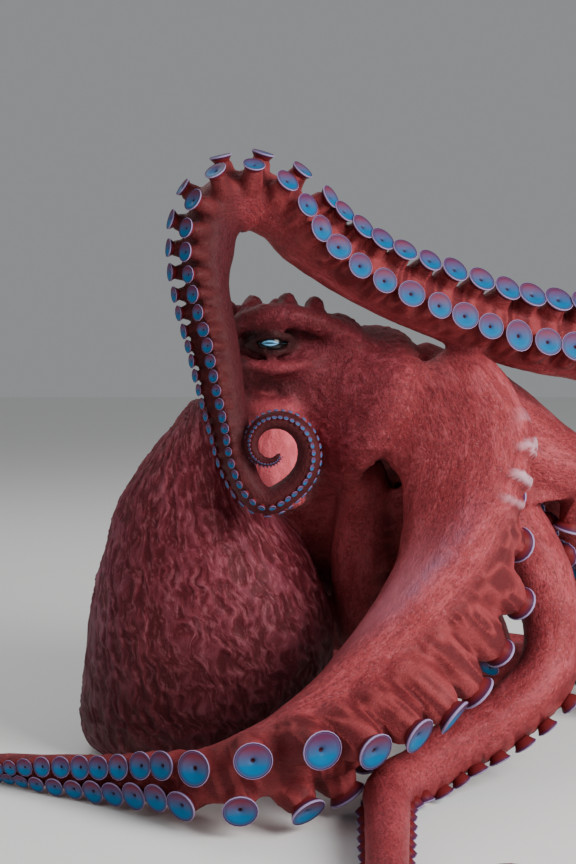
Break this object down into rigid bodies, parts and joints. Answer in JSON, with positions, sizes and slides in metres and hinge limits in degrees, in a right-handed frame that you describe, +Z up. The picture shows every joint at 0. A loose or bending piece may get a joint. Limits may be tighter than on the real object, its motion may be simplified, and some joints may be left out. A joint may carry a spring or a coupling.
{
  "type": "giant pacific octopus",
  "caption": "Still life-size octopus resting on its mantle and arms, one arm raised and curled over its head, with skin webs between the arm bases and two rows of suckers per arm.",
  "frame": {"origin": "centre of the bounding box at floor level", "axes": "+X from the mantle towards the spread arm crown (the longest extent), +Y from the animal's right side to its left side, +Z up (the shortest extent)"},
  "size_m": [1.3846, 1.1398, 0.683],
  "materials": {
    "skin": "wet, ridged and finely wrinkled brick-red skin, satin",
    "sucker_skin": "smooth mauve skin, glossy when wet",
    "eye": "wet eyeball, pale blue-white iris bands and a dark slit pupil",
    "mouth_skin": "wet dark red lips round a horn-brown beak"
  },
  "bodies": {
    "root": {"eye_right": "eye", "eye_left": "eye", "head": "skin", "mouth": "mouth_skin", "funnel": "skin", "mantle": "skin", "arm_r1_base": "skin", "arm_r1_bend": "skin", "arm_r1_run": "skin", "arm_r1_arch": "skin", "arm_r1_fall": "skin", "arm_r1_curl": "skin", "arm_r2_base": "skin", "arm_r2_bend": "skin", "arm_r2_front": "skin", "arm_r2_side": "skin", "arm_r2_tip": "skin", "arm_r3_base": "skin", "arm_r3_mid": "skin", "arm_r3_tip": "skin", "arm_r4_base": "skin", "arm_r4_mid": "skin", "arm_r4_tip": "skin", "arm_l4_base": "skin", "arm_l4_mid": "skin", "arm_l4_tip": "skin", "arm_l3_base": "skin", "arm_l3_mid": "skin", "arm_l3_tip": "skin", "arm_l2_base": "skin", "arm_l2_mid": "skin", "arm_l2_tip": "skin", "arm_l1_base": "skin", "arm_l1_mid": "skin", "arm_l1_tip": "skin", "web_r1_r2": "skin", "web_r2_r3": "skin", "web_r3_r4": "skin", "web_r4_l4": "skin", "web_l4_l3": "skin", "web_l3_l2": "skin", "web_l2_l1": "skin", "web_l1_r1": "skin"}
  },
  "joints": []
}
